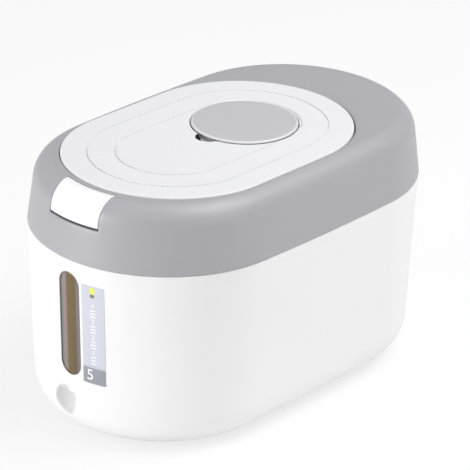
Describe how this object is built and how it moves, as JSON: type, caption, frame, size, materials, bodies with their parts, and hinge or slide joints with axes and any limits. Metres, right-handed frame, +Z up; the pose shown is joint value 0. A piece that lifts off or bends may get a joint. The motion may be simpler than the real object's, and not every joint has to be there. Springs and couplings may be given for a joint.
{
  "type": "rice bin",
  "caption": "Oval lidded bin for dry rice with a sprung flip lid, push-button catch, sight window and lift-off scent cap.",
  "frame": {"origin": "middle of the base, on the surface that the feet stand on", "axes": "+Z up, -Y towards the button and the window, +Y towards the lid hinge, +X to the bin's side"},
  "size_m": [0.185, 0.305, 0.18],
  "materials": {
    "bin_white": "satin moulded plastic",
    "frame_white": "satin moulded plastic",
    "lid_white": "satin moulded plastic",
    "button_white": "satin moulded plastic",
    "cup_white": "satin moulded plastic",
    "collar_grey": "fine satin",
    "cap_grey": "fine satin",
    "bracket_plastic": "plain moulded",
    "smoked_pane": "smoked clear plastic",
    "seal_grey": "soft seal",
    "seal_rubber": "soft silicone seal",
    "foot_rubber": "soft pad",
    "label_print": null,
    "screw_steel": "zinc plated",
    "pin_steel": "bright steel",
    "spring_steel": "spring wire"
  },
  "bodies": {
    "bin": {"body_shell": "bin_white", "window_pane": "smoked_pane", "window_gasket": "seal_grey", "scale_label": "label_print", "foot_pads": "foot_rubber", "collar": "collar_grey", "mouth_frame": "frame_white", "frame_seal": "seal_rubber", "frame_screws": "screw_steel", "hinge_pin": "pin_steel", "hinge_bracket": "bracket_plastic", "bracket_screws": "screw_steel", "lid_springs": "spring_steel", "button_pin": "pin_steel", "button_bracket": "bracket_plastic", "button_spring": "spring_steel"},
    "lid": {"lid_panel": "lid_white", "lid_liner": "frame_white", "lid_gasket": "seal_rubber", "liner_screws": "screw_steel", "scent_cup": "cup_white"},
    "cap": {"cap_disc": "cap_grey", "cap_seal": "seal_rubber"},
    "button": {"press_button": "button_white"}
  },
  "joints": [
    {"name": "lid_hinge", "type": "hinge", "parent": "bin", "child": "lid", "pos_m": [0, 0.1058, 0.1715], "axis": [-1, 0, 0], "range_deg": [0, 95]},
    {"name": "button_pivot", "type": "hinge", "parent": "bin", "child": "button", "pos_m": [0, -0.134, 0.171], "axis": [1, 0, 0], "range_deg": [0, 4.5], "stiffness_Nm_per_rad": 0.3},
    {"name": "cap_lift", "type": "slide", "parent": "lid", "child": "cap", "axis": [0, 0, 1], "range_m": [0, 0.03]}
  ]
}
